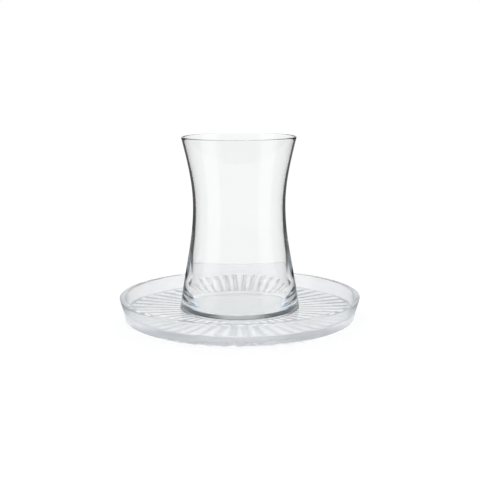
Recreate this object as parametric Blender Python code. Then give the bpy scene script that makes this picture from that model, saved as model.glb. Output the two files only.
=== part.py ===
"""A narrow-waisted glass for tea on its ribbed glass saucer, both empty.

Both pieces are turned round the Z axis. The saucer stands on z = 0, and the
glass stands on the saucer's floor with a hairline gap. Lengths are in metres.
"""

import math

import bmesh
import bpy
from mathutils import Vector
from mathutils.geometry import interpolate_bezier

MM = 0.001
AXIS_POINT = (0.0, 0.0, 0.0)
AXIS = (0.0, 0.0, 1.0)
MERGE = 0.000001
SHARP_ANGLE = math.radians(35)

# Saucer: a flat floor inside a low wall that leans out
RIM_RADIUS = 60.0 * MM
SAUCER_HEIGHT = 12.35 * MM
RIM_THICKNESS = 2.8 * MM
RIM_CROWN = 0.4 * MM
FLOOR_TOP = 5.8 * MM
FLOOR_RADIUS = 54.6 * MM
FLOOR_FILLET_WIDTH = 1.2 * MM
FLOOR_FILLET_HEIGHT = 1.0 * MM
WALL_FOOT_RADIUS = 57.3 * MM
WALL_FOOT_EDGE = 0.5 * MM

# Saucer underside: a flat disc to stand on, and radial ribs with round ends
DISC_RADIUS = 26.0 * MM
DISC_EDGE = 1.5 * MM
RIB_COUNT = 48
RIB_TIP_RADIUS = 56.5 * MM
RIB_ROOT_RADIUS = 27.5 * MM
RIB_TOP = 1.5 * MM
RIB_CREST = 0.3 * MM
RIB_ROUNDNESS = 0.8
RIB_TAPER = 0.6

# Glass: its outer side runs from the base in to the waist and out to the rim
GLASS_HEIGHT = 85.5 * MM
BASE_RADIUS = 30.0 * MM
BASE_EDGE = 0.4 * MM
WAIST_RADIUS = 22.93 * MM
WAIST_HEIGHT = 52.0 * MM
GLASS_RIM_RADIUS = 28.31 * MM
GLASS_RIM_CROWN = 0.9 * MM
LOWER_HANDLES = ((26.2 * MM, 24.0 * MM), (22.9 * MM, 36.0 * MM))
UPPER_HANDLES = ((22.95 * MM, 64.0 * MM), (25.8 * MM, 74.5 * MM))

# Glass wall: height above the base, and thickness there
WALL_THICKNESS = (
    (0.0 * MM, 6.2 * MM),
    (1.4 * MM, 5.6 * MM),
    (4.0 * MM, 4.8 * MM),
    (8.0 * MM, 3.6 * MM),
    (11.0 * MM, 3.1 * MM),
    (16.0 * MM, 3.0 * MM),
    (21.0 * MM, 2.55 * MM),
    (27.0 * MM, 1.95 * MM),
    (41.0 * MM, 1.5 * MM),
    (52.0 * MM, 1.3 * MM),
    (70.0 * MM, 1.0 * MM),
    (85.5 * MM, 1.0 * MM),
)
INNER_FOOT_RADIUS = 24.5 * MM
GLASS_FLOOR = 1.0 * MM
GLASS_FLOOR_FILLET = 1.5 * MM
GLASS_FLOOR_CROWN = 0.35 * MM
PUNT_RADIUS = 28.0 * MM
PUNT_DEPTH = 0.6 * MM
GAP = 0.3 * MM

# How finely the round shapes are cut into facets
STEPS_PER_RIB = 4
GLASS_STEPS = 48
LOWER_POINTS = 10
UPPER_POINTS = 8
EDGE_POINTS = 4


def arc(centre, radii, start, end, count):
    """Points of an elliptical arc, with its angles in degrees."""
    points = []
    for i in range(count + 1):
        angle = math.radians(start + (end - start) * i / count)
        x = centre[0] + radii[0] * math.cos(angle)
        z = centre[1] + radii[1] * math.sin(angle)
        points.append((x, z))
    return points


def curve(start, handle_a, handle_b, end, count):
    """Points of a cubic curve in the profile's plane."""
    knots = [Vector((x, 0.0, z)) for x, z in (start, handle_a, handle_b, end)]
    return [(p.x, p.z) for p in interpolate_bezier(*knots, count)]


def turn(name, profile, steps):
    """A closed body made by turning a profile that starts and ends on the axis."""
    bm = bmesh.new()
    verts = [bm.verts.new((x, 0.0, z)) for x, z in profile]
    edges = [bm.edges.new(pair) for pair in zip(verts, verts[1:])]
    bmesh.ops.spin(
        bm,
        geom=verts + edges,
        cent=AXIS_POINT,
        axis=AXIS,
        angle=math.tau,
        steps=steps,
        use_merge=True,
    )
    bmesh.ops.remove_doubles(bm, verts=bm.verts, dist=MERGE)
    bmesh.ops.recalc_face_normals(bm, faces=bm.faces)
    mesh = bpy.data.meshes.new(name)
    bm.to_mesh(mesh)
    bm.free()
    mesh.shade_smooth()
    mesh.set_sharp_from_angle(angle=SHARP_ANGLE)
    body = bpy.data.objects.new(name, mesh)
    bpy.context.collection.objects.link(body)
    return body


def clear_glass(name, colour, roughness):
    """A see-through material for one of the two pieces."""
    material = bpy.data.materials.new(name)
    material.use_nodes = True
    shader = material.node_tree.nodes["Principled BSDF"]
    shader.inputs["Base Color"].default_value = (*colour, 1.0)
    shader.inputs["Metallic"].default_value = 0.0
    shader.inputs["Roughness"].default_value = roughness
    shader.inputs["IOR"].default_value = 1.52
    shader.inputs["Transmission Weight"].default_value = 1.0
    return material


def saucer_top():
    """The floor, its fillet, the inner wall and the crowned rim."""
    crown_foot = SAUCER_HEIGHT - RIM_CROWN
    fillet_end = (FLOOR_RADIUS + FLOOR_FILLET_WIDTH, FLOOR_TOP + FLOOR_FILLET_HEIGHT)
    fillet = curve(
        (FLOOR_RADIUS, FLOOR_TOP),
        (FLOOR_RADIUS + FLOOR_FILLET_WIDTH / 2, FLOOR_TOP),
        (fillet_end[0] - FLOOR_FILLET_WIDTH / 5, FLOOR_TOP + FLOOR_FILLET_HEIGHT * 0.4),
        fillet_end,
        EDGE_POINTS,
    )
    middle = RIM_RADIUS - RIM_THICKNESS / 2
    crown = arc((middle, crown_foot), (RIM_THICKNESS / 2, RIM_CROWN), 180, 0, EDGE_POINTS)
    return [(0.0, FLOOR_TOP)] + fillet + crown


def saucer_underside():
    """The foot of the wall, the rings that carry the ribs, and the flat disc."""
    edge_height = RIB_TOP + WALL_FOOT_EDGE
    edge_middle = WALL_FOOT_RADIUS - WALL_FOOT_EDGE
    edge = arc((edge_middle, edge_height), (WALL_FOOT_EDGE, WALL_FOOT_EDGE), 0, -90, 2)
    tip, tip_middle, root, root_middle = rib_ends()
    radii = [
        tip_middle + 0.8 * tip,
        tip_middle + 0.4 * tip,
        tip_middle,
        (2 * tip_middle + root_middle) / 3,
        (tip_middle + 2 * root_middle) / 3,
        root_middle,
        root_middle - 0.7 * root,
        RIB_ROOT_RADIUS,
    ]
    disc_edge = (DISC_RADIUS + DISC_EDGE / 2, RIB_TOP / 3)
    return edge + [(radius, RIB_TOP) for radius in radii] + [disc_edge, (DISC_RADIUS, 0.0), (0.0, 0.0)]


def rib_ends():
    """Half-widths of a rib's two round ends, and the radii of their middles."""
    half_turn = math.sin(math.pi / RIB_COUNT)
    tip = RIB_TIP_RADIUS * half_turn / (1 + half_turn)
    root = RIB_ROOT_RADIUS * half_turn / (1 - half_turn)
    return tip, RIB_TIP_RADIUS - tip, root, RIB_ROOT_RADIUS + root


def rib_depth(radius, angle):
    """How far the nearest rib stands down below RIB_TOP at a place."""
    tip, tip_middle, root, root_middle = rib_ends()
    turn_per_rib = math.tau / RIB_COUNT
    off_middle = angle - round(angle / turn_per_rib) * turn_per_rib
    along = radius * math.cos(off_middle)
    across = radius * math.sin(off_middle)
    if along > tip_middle:
        share = math.hypot(across, along - tip_middle) / tip
    elif along < root_middle:
        share = math.hypot(across, along - root_middle) / root
    else:
        share = across / (along * math.tan(math.pi / RIB_COUNT))
    height = (RIB_TOP - RIB_CREST) * min(1.0, along / tip_middle) ** RIB_TAPER
    return height * max(0.0, 1 - share * share) ** RIB_ROUNDNESS


def make_saucer():
    """The saucer, with the ribs drawn down out of its flat underside."""
    saucer = turn("saucer", saucer_top() + saucer_underside(), RIB_COUNT * STEPS_PER_RIB)
    for vertex in saucer.data.vertices:
        x, y, z = vertex.co
        radius = math.hypot(x, y)
        if z < RIB_TOP + MERGE and radius > RIB_ROOT_RADIUS - MERGE:
            vertex.co.z = z - rib_depth(radius, math.atan2(y, x))
    saucer.data.materials.append(clear_glass("pressed_glass", (0.93, 0.95, 0.96), 0.03))
    return saucer


def wall_thickness(height):
    """The glass wall's thickness at a height above the base."""
    for (low, thick), (high, thin) in zip(WALL_THICKNESS, WALL_THICKNESS[1:]):
        if height <= high:
            return thick + (thin - thick) * (height - low) / (high - low)
    return WALL_THICKNESS[-1][1]


def glass_side():
    """The glass's outer side, from the base's edge up to the rim."""
    waist = (WAIST_RADIUS, WAIST_HEIGHT)
    rim = (GLASS_RIM_RADIUS, GLASS_HEIGHT - GLASS_RIM_CROWN)
    lower = curve((BASE_RADIUS, BASE_EDGE), *LOWER_HANDLES, waist, LOWER_POINTS)
    upper = curve(waist, *UPPER_HANDLES, rim, UPPER_POINTS)
    return lower + upper[1:]


def inner_side(side):
    """The inner side, one wall's thickness in from the outer side."""
    points = []
    for i, (x, z) in enumerate(side):
        before = side[max(i - 1, 0)]
        after = side[min(i + 1, len(side) - 1)]
        along = Vector((after[0] - before[0], after[1] - before[1])).normalized()
        thickness = wall_thickness(z)
        points.append((x - along.y * thickness, z + along.x * thickness))
    return points


def glass_floor(wall_foot):
    """The fillet at the wall's foot, and the slightly crowned inner floor."""
    floor_radius = wall_foot[0] - GLASS_FLOOR_FILLET
    centre = (floor_radius, GLASS_FLOOR + GLASS_FLOOR_FILLET)
    fillet = arc(centre, (GLASS_FLOOR_FILLET, GLASS_FLOOR_FILLET), 0, -90, EDGE_POINTS)
    crown = [
        (floor_radius * share, GLASS_FLOOR + GLASS_FLOOR_CROWN * (1 - share * share))
        for share in (0.6, 0.3, 0.0)
    ]
    return fillet + crown


def glass_underside():
    """The shallow hollow under the base, out to the ring that it stands on."""
    return [
        (PUNT_RADIUS * share, PUNT_DEPTH * (1 - share * share))
        for share in (0.0, 0.35, 0.7, 1.0)
    ]


def make_tea_glass():
    """The glass, placed just clear of the saucer's floor."""
    side = glass_side()
    rim = side[-1]
    base_edge = arc((BASE_RADIUS - BASE_EDGE, BASE_EDGE), (BASE_EDGE, BASE_EDGE), -90, 0, 3)
    lip = wall_thickness(rim[1])
    crown = arc((rim[0] - lip / 2, rim[1]), (lip / 2, GLASS_RIM_CROWN), 0, 180, EDGE_POINTS)
    fillet_top = GLASS_FLOOR + GLASS_FLOOR_FILLET
    inside = [point for point in inner_side(side)[:-1] if point[1] > fillet_top]
    wall_foot = (INNER_FOOT_RADIUS, fillet_top)
    profile = glass_underside() + base_edge[:-1] + side + crown[1:]
    profile += list(reversed(inside)) + glass_floor(wall_foot)
    glass = turn("tea_glass", profile, GLASS_STEPS)
    glass.location = (0.0, 0.0, FLOOR_TOP + GAP)
    glass.data.materials.append(clear_glass("clear_glass", (0.97, 0.98, 0.98), 0.0))
    return glass


def main():
    for old in list(bpy.data.objects):
        bpy.data.objects.remove(old)
    make_saucer()
    make_tea_glass()


main()
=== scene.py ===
"""A narrow-waisted tea glass on its ribbed saucer, both in clear glass.

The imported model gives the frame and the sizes. Both pieces are turned again
here in fine steps, because clear glass shows every facet behind it. They stand
on a pale floor in even white light. Lengths are in metres.
"""

import math

import bmesh
import bpy
import numpy as np
from mathutils import Matrix, Vector
from mathutils.geometry import interpolate_bezier


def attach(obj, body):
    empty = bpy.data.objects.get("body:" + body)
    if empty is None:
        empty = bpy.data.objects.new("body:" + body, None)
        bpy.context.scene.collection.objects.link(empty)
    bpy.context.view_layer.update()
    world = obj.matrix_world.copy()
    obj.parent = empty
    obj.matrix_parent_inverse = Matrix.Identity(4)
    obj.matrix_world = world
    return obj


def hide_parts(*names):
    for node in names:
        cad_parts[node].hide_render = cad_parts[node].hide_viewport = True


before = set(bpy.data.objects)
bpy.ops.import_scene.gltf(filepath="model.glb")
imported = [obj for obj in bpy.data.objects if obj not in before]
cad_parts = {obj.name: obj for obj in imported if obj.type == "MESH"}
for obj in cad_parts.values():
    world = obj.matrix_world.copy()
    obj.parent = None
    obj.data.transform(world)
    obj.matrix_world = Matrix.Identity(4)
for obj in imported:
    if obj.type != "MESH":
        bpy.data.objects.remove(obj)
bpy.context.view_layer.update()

MM = 0.001
AXIS_POINT = (0.0, 0.0, 0.0)
AXIS = (0.0, 0.0, 1.0)
MERGE = 0.0000001

# Saucer: a flat floor inside a low wall that leans out
RIM_RADIUS = 60.0 * MM
SAUCER_HEIGHT = 12.35 * MM
RIM_THICKNESS = 2.8 * MM
RIM_CROWN = 0.15 * MM
FLOOR_TOP = 5.8 * MM
FLOOR_RADIUS = 54.6 * MM
FLOOR_FILLET_WIDTH = 1.2 * MM
FLOOR_FILLET_HEIGHT = 1.0 * MM
WALL_FOOT_RADIUS = 57.3 * MM
WALL_FOOT_EDGE = 0.5 * MM

# Saucer underside: a flat disc to stand on, and radial ribs with round ends
DISC_RADIUS = 26.0 * MM
RIB_COUNT = 48
RIB_TIP_RADIUS = 56.5 * MM
RIB_ROOT_RADIUS = 27.5 * MM
RIB_TOP = 1.5 * MM
RIB_CREST = 0.3 * MM
RIB_ROUNDNESS = 0.8
RIB_TAPER = 0.6

# Glass: its outer side runs from the base in to the waist and out to the rim
GLASS_HEIGHT = 85.5 * MM
BASE_RADIUS = 30.0 * MM
BASE_EDGE = 0.4 * MM
WAIST_RADIUS = 22.93 * MM
WAIST_HEIGHT = 52.0 * MM
GLASS_RIM_RADIUS = 28.31 * MM
GLASS_RIM_CROWN = 0.35 * MM
LOWER_HANDLES = ((26.2 * MM, 24.0 * MM), (22.9 * MM, 36.0 * MM))
UPPER_HANDLES = ((22.95 * MM, 64.0 * MM), (25.8 * MM, 74.5 * MM))

# Glass wall: height above the base, and thickness there
WALL_THICKNESS = (
    (0.0 * MM, 6.2 * MM),
    (1.4 * MM, 5.6 * MM),
    (4.0 * MM, 4.8 * MM),
    (8.0 * MM, 3.6 * MM),
    (11.0 * MM, 3.1 * MM),
    (16.0 * MM, 3.0 * MM),
    (21.0 * MM, 2.55 * MM),
    (27.0 * MM, 1.95 * MM),
    (41.0 * MM, 1.5 * MM),
    (52.0 * MM, 1.3 * MM),
    (70.0 * MM, 1.0 * MM),
    (85.5 * MM, 1.0 * MM),
)
SMOOTHING = 2.0 * MM
INNER_FOOT_RADIUS = 24.5 * MM
GLASS_FLOOR = 1.0 * MM
GLASS_FLOOR_FILLET = 1.5 * MM
GLASS_FLOOR_CROWN = 0.35 * MM
PUNT_RADIUS = 29.0 * MM
PUNT_DEPTH = 0.6 * MM
GAP = 0.3 * MM

# Painted shade: the base's colour is a little greyer, standing in for the shade in its thick foot,
# and fades into the wall's between these heights
FOOT_PAINTED_SHADE = (0.86, 0.87, 0.87)
PAINTED_SHADE_HEIGHTS = (7.6 * MM, 9.0 * MM)

# The saucer's outer side is frosted: its tint, its radii and the heights of its top
SIDE_TINT = (0.93, 0.94, 0.955)
SIDE_EDGE = (57.22 * MM, 57.3 * MM)
SIDE_TOP = (11.6 * MM, 12.1 * MM)

# How finely the round shapes are cut
STEPS_PER_RIB = 16
GLASS_SECTORS = 32
STEPS_PER_SECTOR = 8
RING_STEP = 1.0 * MM
FINE_STEP = 0.3 * MM
EDGE_POINTS = 12

# Studio
WHITE = (1.0, 1.0, 1.0)
LIGHT_THROUGH = 1.0
LIGHT_GLOW = 0.7
FLOOR_SHADE = 0.32
FLOOR_REACH = 4.0
FLOOR_DROP = 0.1 * MM
MIRRORED_FLOOR = 0.08
MIRRORED_LOW = 0.14
MIRRORED_HIGH = 1.0
SKY_TINT = (0.7, 0.83, 1.0)
BLUE_SKY = (0.2, 0.35)
LOW_SKY = 0.42
HIGH_SKY = 0.55
BRIGHT_FLOOR = 60.0 * MM
DIM_FLOOR = 75.0 * MM
FIRST_WALL = 3.5
SIDE_LIGHT = 0.6
SIDE_LIGHT_START = (math.radians(42), math.radians(52))
SIDE_LIGHT_END = (math.radians(78), math.radians(88))
BACK_LIGHT = 0.5
BACK_LIGHT_START = (math.radians(160), math.radians(172))
CAMERA_PLACE = (0.00031, -0.484, 0.124)
CAMERA_DIP = math.radians(9.84)
CAMERA_ROLL = math.radians(0.3)
PICTURE_SIDE = 480
FOCAL_PIXELS = 984.3
SENSOR = 36.0


class Wire:
    """A shader node's output, for sums with numbers and with other outputs."""

    def __init__(self, tree, socket=None):
        self.tree = tree
        self.socket = socket

    def node(self, kind, settings, inputs, output=0):
        """A new node: its settings first, then a value or a wire for each socket."""
        made = self.tree.nodes.new("ShaderNode" + kind)
        for name, value in settings.items():
            if name == "stops":
                self.set_stops(made.color_ramp, value)
            else:
                setattr(made, name, value)
        for name, value in inputs.items():
            if isinstance(value, Wire):
                self.tree.links.new(value.socket, made.inputs[name])
            else:
                made.inputs[name].default_value = value
        return Wire(self.tree, made.outputs[output])

    def set_stops(self, ramp, stops):
        """Fills a colour ramp with grey stops, each a place and a level."""
        while len(ramp.elements) < len(stops):
            ramp.elements.new(1.0)
        for element, (place, level) in zip(ramp.elements, stops):
            element.position = place
            element.color = (level, level, level, 1.0)

    def sum_of(self, operation, first, second):
        return self.node("Math", {"operation": operation}, {0: first, 1: second})

    def __add__(self, other):
        return self.sum_of("ADD", self, other)

    def __sub__(self, other):
        return self.sum_of("SUBTRACT", self, other)

    def __rsub__(self, other):
        return self.sum_of("SUBTRACT", other, self)

    def __mul__(self, other):
        return self.sum_of("MULTIPLY", self, other)

    def __gt__(self, other):
        return self.sum_of("GREATER_THAN", self, other)

    def smooth_step(self, low, high):
        """0 below low and 1 above high, with a soft change between."""
        settings = {"interpolation_type": "SMOOTHSTEP"}
        return self.node("MapRange", settings, {0: self, 1: low, 2: high})

    __radd__ = __add__
    __rmul__ = __mul__


def arc(centre, radii, start, end, count):
    """Points of an elliptical arc, with its angles in degrees."""
    points = []
    for i in range(count + 1):
        angle = math.radians(start + (end - start) * i / count)
        x = centre[0] + radii[0] * math.cos(angle)
        z = centre[1] + radii[1] * math.sin(angle)
        points.append((x, z))
    return points


def curve(start, handle_a, handle_b, end, count):
    """Points of a cubic curve in the profile's plane."""
    knots = [Vector((x, 0.0, z)) for x, z in (start, handle_a, handle_b, end)]
    return [(p.x, p.z) for p in interpolate_bezier(*knots, count)]


def refined(points, step):
    """The same line with no stretch longer than about a step."""
    fine = [points[0]]
    for (x, z), (next_x, next_z) in zip(points, points[1:]):
        count = max(1, round(math.dist((x, z), (next_x, next_z)) / step))
        for i in range(1, count + 1):
            fine.append((x + (next_x - x) * i / count, z + (next_z - z) * i / count))
    return fine


def move_points(mesh, rule):
    """Moves a mesh's points by a rule on their x, y and z."""
    flat = np.empty(len(mesh.vertices) * 3, np.float32)
    mesh.vertices.foreach_get("co", flat)
    points = flat.reshape(-1, 3).astype(float)
    mesh.vertices.foreach_set("co", rule(points).astype(np.float32).ravel())
    mesh.update()


def turn(name, profile, sectors, steps):
    """A closed body: one sector turned from the profile, then copied all round."""
    bm = bmesh.new()
    verts = [bm.verts.new((x, 0.0, z)) for x, z in profile]
    edges = [bm.edges.new(pair) for pair in zip(verts, verts[1:])]
    sector = math.tau / sectors
    bmesh.ops.spin(
        bm, geom=verts + edges, cent=AXIS_POINT, axis=AXIS, angle=sector, steps=steps
    )
    bmesh.ops.spin(
        bm,
        geom=bm.verts[:] + bm.edges[:] + bm.faces[:],
        cent=AXIS_POINT,
        axis=AXIS,
        angle=math.tau - sector,
        steps=sectors - 1,
        use_duplicate=True,
    )
    bmesh.ops.remove_doubles(bm, verts=bm.verts, dist=MERGE)
    bmesh.ops.recalc_face_normals(bm, faces=bm.faces)
    mesh = bpy.data.meshes.new(name)
    bm.to_mesh(mesh)
    bm.free()
    mesh.shade_smooth()
    piece = bpy.data.objects.new(name, mesh)
    bpy.context.collection.objects.link(piece)
    return piece


def saucer_top():
    """The floor, its fillet, the inner wall and the crowned rim."""
    crown_foot = SAUCER_HEIGHT - RIM_CROWN
    fillet_end = (FLOOR_RADIUS + FLOOR_FILLET_WIDTH, FLOOR_TOP + FLOOR_FILLET_HEIGHT)
    fillet = curve(
        (FLOOR_RADIUS, FLOOR_TOP),
        (FLOOR_RADIUS + FLOOR_FILLET_WIDTH / 2, FLOOR_TOP),
        (fillet_end[0] - FLOOR_FILLET_WIDTH / 5, FLOOR_TOP + FLOOR_FILLET_HEIGHT * 0.4),
        fillet_end,
        EDGE_POINTS,
    )
    middle = RIM_RADIUS - RIM_THICKNESS / 2
    crown = arc((middle, crown_foot), (RIM_THICKNESS / 2, RIM_CROWN), 180, 0, EDGE_POINTS)
    wall = refined([fillet_end, crown[0]], FINE_STEP)[1:-1]
    floor = [(FLOOR_RADIUS * share, FLOOR_TOP) for share in (0.0, 0.25, 0.5, 0.75, 0.95, 0.99)]
    return floor + fillet + wall + crown


def saucer_underside():
    """The outer wall, its foot, the rings that carry the ribs, and the flat disc."""
    edge_height = RIB_TOP + WALL_FOOT_EDGE
    edge_middle = WALL_FOOT_RADIUS - WALL_FOOT_EDGE
    wall = [(RIM_RADIUS, SAUCER_HEIGHT - RIM_CROWN), (WALL_FOOT_RADIUS, edge_height)]
    edge = arc((edge_middle, edge_height), (WALL_FOOT_EDGE, WALL_FOOT_EDGE), 0, -90, 5)
    tip_end = (RIB_TIP_RADIUS - 6 * MM, RIB_TOP)
    root_end = (RIB_ROOT_RADIUS + 4 * MM, RIB_TOP)
    root = (RIB_ROOT_RADIUS, RIB_TOP)
    ribs = refined([edge[-1], tip_end], FINE_STEP)[1:]
    ribs += refined([tip_end, root_end], RING_STEP)[1:]
    ribs += refined([root_end, root], FINE_STEP)[1:]
    step = curve(
        root,
        (RIB_ROOT_RADIUS - 0.6 * MM, RIB_TOP),
        (DISC_RADIUS + 0.7 * MM, 0.0),
        (DISC_RADIUS, 0.0),
        8,
    )
    disc = [(DISC_RADIUS * share, 0.0) for share in (0.97, 0.9, 0.6, 0.3, 0.0)]
    return refined(wall, RING_STEP)[1:] + edge[1:] + ribs + step[1:] + disc


def rib_depth(radius, angle):
    """How far the nearest rib stands down below RIB_TOP at each place."""
    half_turn = math.sin(math.pi / RIB_COUNT)
    tip = RIB_TIP_RADIUS * half_turn / (1 + half_turn)
    root = RIB_ROOT_RADIUS * half_turn / (1 - half_turn)
    tip_middle = RIB_TIP_RADIUS - tip
    root_middle = RIB_ROOT_RADIUS + root
    turn_per_rib = math.tau / RIB_COUNT
    off_middle = angle - np.round(angle / turn_per_rib) * turn_per_rib
    along = radius * np.cos(off_middle)
    across = radius * np.sin(off_middle)
    share = across / (along * math.tan(math.pi / RIB_COUNT))
    share = np.where(along > tip_middle, np.hypot(across, along - tip_middle) / tip, share)
    share = np.where(along < root_middle, np.hypot(across, along - root_middle) / root, share)
    height = (RIB_TOP - RIB_CREST) * np.minimum(1.0, along / tip_middle) ** RIB_TAPER
    return height * np.maximum(0.0, 1 - share * share) ** RIB_ROUNDNESS


def with_ribs(points):
    """The saucer's points, with the ribs drawn down out of its flat underside."""
    x, y, z = points.T
    radius = np.hypot(x, y)
    below = (z < RIB_TOP + 10 * MERGE) & (radius > RIB_ROOT_RADIUS - 10 * MERGE)
    depth = np.zeros(len(points))
    depth[below] = rib_depth(radius[below], np.arctan2(y[below], x[below]))
    return np.column_stack((x, y, z - depth))


def make_saucer():
    profile = saucer_top() + saucer_underside()
    saucer = turn("saucer_fine", profile, RIB_COUNT, STEPS_PER_RIB)
    move_points(saucer.data, with_ribs)
    saucer.data.materials.append(pressed_glass())
    return saucer


def wall_thickness(height):
    """The glass wall's thickness at a height above the base."""
    heights, thicknesses = zip(*WALL_THICKNESS)
    near = height + SMOOTHING * np.linspace(-1, 1, 9)
    return float(np.interp(near, heights, thicknesses).mean())


def glass_side():
    """The glass's outer side, from the base's edge up to the rim."""
    waist = (WAIST_RADIUS, WAIST_HEIGHT)
    rim = (GLASS_RIM_RADIUS, GLASS_HEIGHT - GLASS_RIM_CROWN)
    lower = curve((BASE_RADIUS, BASE_EDGE), *LOWER_HANDLES, waist, 60)
    upper = curve(waist, *UPPER_HANDLES, rim, 40)
    return lower + upper[1:]


def inner_side(side):
    """The inner side, one wall's thickness in from the outer side."""
    points = []
    for i, (x, z) in enumerate(side):
        before = side[max(i - 1, 0)]
        after = side[min(i + 1, len(side) - 1)]
        along = Vector((after[0] - before[0], after[1] - before[1])).normalized()
        thickness = wall_thickness(z)
        points.append((x - along.y * thickness, z + along.x * thickness))
    return points


def glass_floor(wall_foot):
    """The fillet at the wall's foot, and the slightly crowned inner floor."""
    floor_radius = wall_foot[0] - GLASS_FLOOR_FILLET
    centre = (floor_radius, GLASS_FLOOR + GLASS_FLOOR_FILLET)
    fillet = arc(centre, (GLASS_FLOOR_FILLET, GLASS_FLOOR_FILLET), 0, -90, EDGE_POINTS)
    count = round(floor_radius / RING_STEP)
    crown = []
    for i in reversed(range(count)):
        share = i / count
        crown.append((floor_radius * share, GLASS_FLOOR + GLASS_FLOOR_CROWN * (1 - share * share)))
    return fillet + crown


def glass_underside():
    """The shallow hollow under the base, out to the ring that it stands on."""
    count = round(PUNT_RADIUS / FINE_STEP)
    shares = [i / count for i in range(count + 1)]
    return [(PUNT_RADIUS * share, PUNT_DEPTH * (1 - share * share)) for share in shares]


def make_tea_glass():
    side = glass_side()
    rim = side[-1]
    base_edge = arc((BASE_RADIUS - BASE_EDGE, BASE_EDGE), (BASE_EDGE, BASE_EDGE), -90, 0, 8)
    underside = glass_underside()
    underside += refined([underside[-1], base_edge[0]], FINE_STEP)[1:-1]
    lip = wall_thickness(rim[1])
    crown = arc((rim[0] - lip / 2, rim[1]), (lip / 2, GLASS_RIM_CROWN), 0, 180, EDGE_POINTS)
    fillet_top = GLASS_FLOOR + GLASS_FLOOR_FILLET
    inside = [point for point in inner_side(side)[:-1] if point[1] > fillet_top + FINE_STEP]
    wall_foot = (INNER_FOOT_RADIUS, fillet_top)
    profile = underside + base_edge[:-1] + side + crown[1:]
    profile += list(reversed(inside)) + glass_floor(wall_foot)
    placed = [(x, z + FLOOR_TOP + GAP) for x, z in profile]
    glass = turn("tea_glass_fine", placed, GLASS_SECTORS, STEPS_PER_SECTOR)
    glass.data.materials.append(clear_glass())
    return glass


def glass_material(name, tint, depth_of_colour):
    """A clear glass with its colour held in its thickness, and its shader and first wire."""
    material = bpy.data.materials.new(name)
    material.use_nodes = True
    tree = material.node_tree
    shader = tree.nodes["Principled BSDF"]
    shader.inputs["IOR"].default_value = 1.52
    shader.inputs["Transmission Weight"].default_value = 1.0
    start = Wire(tree)
    inside = start.node(
        "VolumeAbsorption", {}, {"Color": (*tint, 1.0), "Density": depth_of_colour}
    )
    tree.links.new(inside.socket, tree.nodes["Material Output"].inputs["Volume"])
    return material, shader, start


def clear_glass():
    """Fire-polished glass with the faint waves of a blown wall."""
    material, shader, start = glass_material("clear_glass", (0.93, 0.97, 0.96), 6.0)
    tree = material.node_tree
    place = start.node("TexCoord", {}, {}, "Object")
    haze = start.node("TexNoise", {}, {"Vector": place, "Scale": 90.0, "Detail": 3.0})
    waves = start.node("TexNoise", {}, {"Vector": place, "Scale": 55.0, "Detail": 1.0})
    tree.links.new((haze * 0.012).socket, shader.inputs["Roughness"])
    tint = start.node(
        "Mix",
        {"data_type": "RGBA"},
        {"Factor": haze, "A": (0.985, 0.99, 0.99, 1.0), "B": (0.995, 0.998, 0.998, 1.0)},
        "Result",
    )
    # Painted shade: below these heights the base's colour is greyed, standing in for the shade in
    # its thick foot
    height = start.node("SeparateXYZ", {}, {"Vector": place}, "Z")
    tint = start.node(
        "Mix",
        {"data_type": "RGBA"},
        {"Factor": height.smooth_step(*PAINTED_SHADE_HEIGHTS), "A": (*FOOT_PAINTED_SHADE, 1.0), "B": tint},
        "Result",
    )
    tree.links.new(tint.socket, shader.inputs["Base Color"])
    bump = start.node("Bump", {}, {"Height": waves, "Strength": 0.05, "Distance": 0.0005})
    tree.links.new(bump.socket, shader.inputs["Normal"])
    return material


def pressed_glass():
    """Pressed glass: polished above, with the mould's soft matt skin below."""
    material, shader, start = glass_material("pressed_glass", (0.94, 0.955, 0.985), 4.0)
    tree = material.node_tree
    place = start.node("TexCoord", {}, {}, "Object")
    shader.inputs["Transmission Weight"].default_value = 0.82
    height = start.node("SeparateXYZ", {}, {"Vector": place}, "Z")
    grain = start.node("TexNoise", {}, {"Vector": place, "Scale": 300.0, "Detail": 4.0})
    waves = start.node("TexNoise", {}, {"Vector": place, "Scale": 80.0, "Detail": 2.0})
    matt = 1 - height.smooth_step(1.8 * MM, 3.2 * MM)
    off_axis = start.node("VectorMath", {"operation": "MULTIPLY"}, {0: place, 1: (1.0, 1.0, 0.0)})
    off_axis = start.node("VectorMath", {"operation": "LENGTH"}, {0: off_axis}, "Value")
    side = off_axis.smooth_step(*SIDE_EDGE) * (1 - height.smooth_step(*SIDE_TOP))
    rough = matt * 0.1 + side * 0.15 + grain * 0.05
    tree.links.new(rough.socket, shader.inputs["Roughness"])
    tint = start.node(
        "Mix",
        {"data_type": "RGBA"},
        {"Factor": waves, "A": (0.98, 0.985, 0.992, 1.0), "B": (0.992, 0.996, 1.0, 1.0)},
        "Result",
    )
    tint = start.node(
        "Mix",
        {"data_type": "RGBA"},
        {"Factor": side, "A": tint, "B": (*SIDE_TINT, 1.0)},
        "Result",
    )
    tree.links.new(tint.socket, shader.inputs["Base Color"])
    bump = start.node("Bump", {}, {"Height": waves, "Strength": 0.1, "Distance": 0.0005})
    tree.links.new(bump.socket, shader.inputs["Normal"])
    return material


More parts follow.
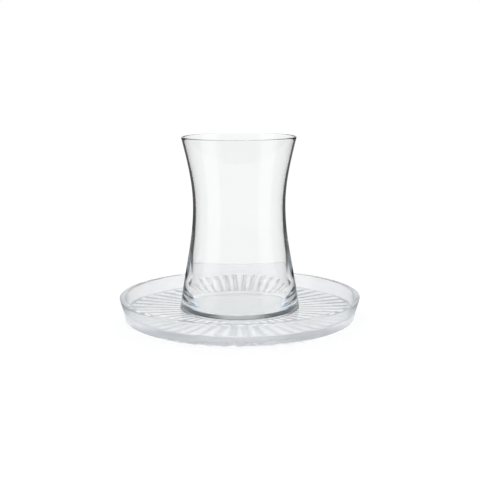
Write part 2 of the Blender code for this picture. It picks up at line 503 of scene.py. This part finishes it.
def dark_share(direction):
    """How much of the dark surroundings a ray that runs this way meets.

    Only rays that are mirrored inside the first wall that they enter meet them.
    There is light behind the glass and in front of it to the left and right.
    """
    mirrored = direction.node("LightPath", {}, {}, "Glossy Depth") > 0.5
    deep = direction.node("LightPath", {}, {}, "Transmission Depth") > FIRST_WALL
    x = direction.node("SeparateXYZ", {}, {"Vector": direction}, "X")
    y = direction.node("SeparateXYZ", {}, {"Vector": direction}, "Y")
    from_front = x.sum_of("ARCTAN2", x.sum_of("ABSOLUTE", x, 0.0), 0 - y)
    side_light = from_front.smooth_step(*SIDE_LIGHT_START)
    side_light = side_light - from_front.smooth_step(*SIDE_LIGHT_END)
    back_light = from_front.smooth_step(*BACK_LIGHT_START)
    lit = side_light * SIDE_LIGHT + back_light * BACK_LIGHT
    return mirrored * (1 - deep) * (1 - lit)


def make_floor():
    """A pale floor. What glass mirrors of it is dim, which draws the glass's edges."""
    bm = bmesh.new()
    bmesh.ops.create_circle(bm, cap_ends=True, segments=64, radius=FLOOR_REACH)
    mesh = bpy.data.meshes.new("studio_floor")
    bm.to_mesh(mesh)
    bm.free()
    floor = bpy.data.objects.new("studio_floor", mesh)
    floor.location.z = -FLOOR_DROP
    bpy.context.collection.objects.link(floor)
    material = bpy.data.materials.new("studio_floor")
    material.use_nodes = True
    tree = material.node_tree
    shader = tree.nodes["Principled BSDF"]
    shader.inputs["Base Color"].default_value = (FLOOR_SHADE, FLOOR_SHADE, FLOOR_SHADE, 1.0)
    shader.inputs["Roughness"].default_value = 1.0
    shader.inputs["Specular IOR Level"].default_value = 0.0
    shader.inputs["Emission Color"].default_value = (*WHITE, 1.0)
    shader.inputs["Emission Strength"].default_value = LIGHT_GLOW
    start = Wire(tree)
    spot = start.node("TexCoord", {}, {}, "Object")
    off_centre = start.node("VectorMath", {"operation": "LENGTH"}, {0: spot}, "Value")
    dimmed = dark_share(spot) * off_centre.smooth_step(BRIGHT_FLOOR, DIM_FLOOR)
    dim = start.node("Emission", {}, {"Color": (*WHITE, 1.0), "Strength": MIRRORED_FLOOR})
    both = start.node("MixShader", {}, {0: dimmed, 1: Wire(tree, shader.outputs[0]), 2: dim})
    tree.links.new(both.socket, tree.nodes["Material Output"].inputs["Surface"])
    mesh.materials.append(material)
    return floor


def make_light():
    """Even white light all round. What glass mirrors of it is bright only high up."""
    world = bpy.data.worlds.new("studio_light")
    world.use_nodes = True
    bpy.context.scene.world = world
    tree = world.node_tree
    through = tree.nodes["Background"]
    through.inputs["Color"].default_value = (*WHITE, 1.0)
    through.inputs["Strength"].default_value = LIGHT_THROUGH
    start = Wire(tree)
    direction = start.node("TexCoord", {}, {}, "Generated")
    upward = start.node("SeparateXYZ", {}, {"Vector": direction}, "Z")
    level = MIRRORED_LOW + upward.smooth_step(LOW_SKY, HIGH_SKY) * (MIRRORED_HIGH - MIRRORED_LOW)
    tone = start.node(
        "Mix",
        {"data_type": "RGBA"},
        {"Factor": upward.smooth_step(*BLUE_SKY), "A": (*WHITE, 1.0), "B": (*SKY_TINT, 1.0)},
        "Result",
    )
    above = start.node("Background", {}, {"Color": tone, "Strength": level})
    both = start.node(
        "MixShader", {}, {0: dark_share(direction), 1: Wire(tree, through.outputs[0]), 2: above}
    )
    tree.links.new(both.socket, tree.nodes["World Output"].inputs["Surface"])


def make_camera():
    """The photograph's viewpoint, with its small roll."""
    data = bpy.data.cameras.new("camera")
    data.sensor_width = SENSOR
    data.lens = FOCAL_PIXELS / PICTURE_SIDE * SENSOR
    camera = bpy.data.objects.new("camera", data)
    bpy.context.collection.objects.link(camera)
    right = Vector((1.0, 0.0, 0.0))
    up = Vector((0.0, math.sin(CAMERA_DIP), math.cos(CAMERA_DIP)))
    back = Vector((0.0, -math.cos(CAMERA_DIP), math.sin(CAMERA_DIP)))
    level = Matrix((right, up, back)).transposed()
    rolled = level @ Matrix.Rotation(-CAMERA_ROLL, 3, "Z")
    camera.matrix_world = Matrix.Translation(CAMERA_PLACE) @ rolled.to_4x4()
    bpy.context.scene.camera = camera


def set_light_paths():
    """Enough bounces for light to find its way through two pieces of glass."""
    scene = bpy.context.scene
    scene.view_settings.view_transform = "Standard"
    scene.cycles.max_bounces = 24
    scene.cycles.transmission_bounces = 24
    scene.cycles.glossy_bounces = 24
    scene.cycles.diffuse_bounces = 8
    scene.cycles.blur_glossy = 0.0
    scene.cycles.use_denoising = True


def main():
    make_camera()
    make_light()
    set_light_paths()
    make_floor()
    saucer = make_saucer()
    tea_glass = make_tea_glass()
    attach(saucer, "root")
    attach(tea_glass, "root")
    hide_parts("saucer")
    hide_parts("tea_glass")


main()
